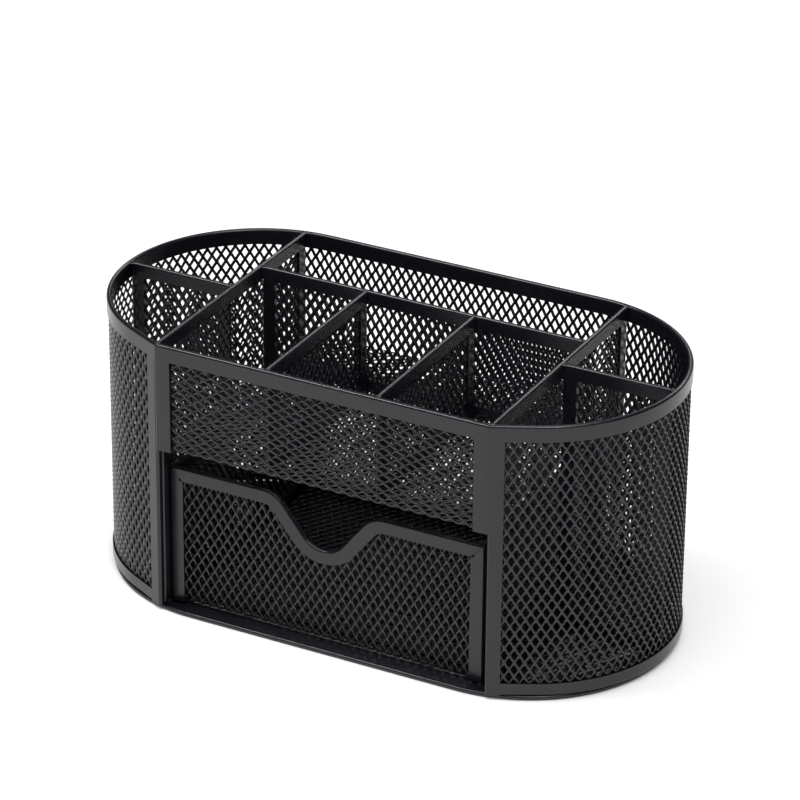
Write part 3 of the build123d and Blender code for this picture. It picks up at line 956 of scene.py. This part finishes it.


def outside_painted_shadow(tree):
    """0 under the organizer and 1 on the floor around it, softly: the glow is left out under it as
    a painted shadow.
    """
    nodes, link = tree.nodes, tree.links.new
    place = nodes.new("ShaderNodeTexCoord")
    parts = nodes.new("ShaderNodeSeparateXYZ")
    link(place.outputs["Object"], parts.inputs[0])
    along = math_node(tree, "ABSOLUTE", parts.outputs["X"])
    from_spine = nodes.new("ShaderNodeCombineXYZ")
    link(math_node(tree, "SUBTRACT", along, END_X * MM, clamp=True), from_spine.inputs["X"])
    link(parts.outputs["Y"], from_spine.inputs["Y"])
    distance = nodes.new("ShaderNodeVectorMath")
    distance.operation = "LENGTH"
    link(from_spine.outputs[0], distance.inputs[0])
    fade = nodes.new("ShaderNodeMapRange")
    fade.interpolation_type = "SMOOTHSTEP"
    fade.inputs["From Min"].default_value = (END_RADIUS - PAINTED_SHADOW_FADE) * MM
    fade.inputs["From Max"].default_value = (END_RADIUS + PAINTED_SHADOW_FADE) * MM
    link(distance.outputs["Value"], fade.inputs["Value"])
    return fade.outputs["Result"]


def white_floor():
    """A pale floor that takes the shadow, and is seen as white around the organizer; under it the
    glow is left out, as painted shadow.
    """
    bpy.ops.mesh.primitive_plane_add(size=12)
    floor = bpy.context.object
    floor.name = "floor"
    material = bpy.data.materials.new("white studio floor")
    material.use_nodes = True
    tree = material.node_tree
    shader = tree.nodes["Principled BSDF"]
    shader.inputs["Base Color"].default_value = (0.85, 0.85, 0.85, 1)
    shader.inputs["Roughness"].default_value = 0.9
    shader.inputs["Specular IOR Level"].default_value = 0.1
    ray = tree.nodes.new("ShaderNodeLightPath").outputs
    seen = math_node(tree, "MAXIMUM", ray["Is Camera Ray"], ray["Is Glossy Ray"])
    seen = math_node(tree, "MAXIMUM", seen, ray["Is Transmission Ray"])
    glow = math_node(tree, "MULTIPLY", seen, FLOOR_GLOW)
    # painted shadow: no glow on the floor under the organizer, so it stays darker there
    glow = math_node(tree, "MULTIPLY", glow, outside_painted_shadow(tree))
    shader.inputs["Emission Color"].default_value = (1, 1, 1, 1)
    tree.links.new(glow, shader.inputs["Emission Strength"])
    floor.data.materials.append(material)


def softbox(name, place, size, power):
    """A flat lamp, placed and sized in metres, that faces the middle of the base."""
    bpy.ops.object.light_add(type="AREA", location=Vector(place))
    lamp = bpy.context.object
    lamp.name = name
    lamp.data.shape = "RECTANGLE"
    lamp.data.size, lamp.data.size_y = size
    lamp.data.energy = power
    lamp.rotation_euler = Vector(place).to_track_quat("Z", "Y").to_euler()


def room_light(strength):
    """Even white light from all around."""
    world = bpy.data.worlds.new("studio room")
    bpy.context.scene.world = world
    world.use_nodes = True
    background = world.node_tree.nodes["Background"]
    background.inputs["Color"].default_value = (1, 1, 1, 1)
    background.inputs["Strength"].default_value = strength


white_floor()
softbox("overhead softbox", place=(0.1, -0.25, 1.4), size=(1.2, 1.1), power=13)
softbox("key softbox from the upper left", place=(-0.58, -0.36, 1.22), size=(0.35, 0.35), power=6.5)
softbox("softbox from the upper right", place=(0.6, -0.6, 1.15), size=(0.35, 0.35), power=3.5)
softbox("strip light from behind", place=(-0.15, 1.15, 0.85), size=(1.3, 0.15), power=3.5)
room_light(0.08)
bpy.context.scene.view_settings.view_transform = "Standard"
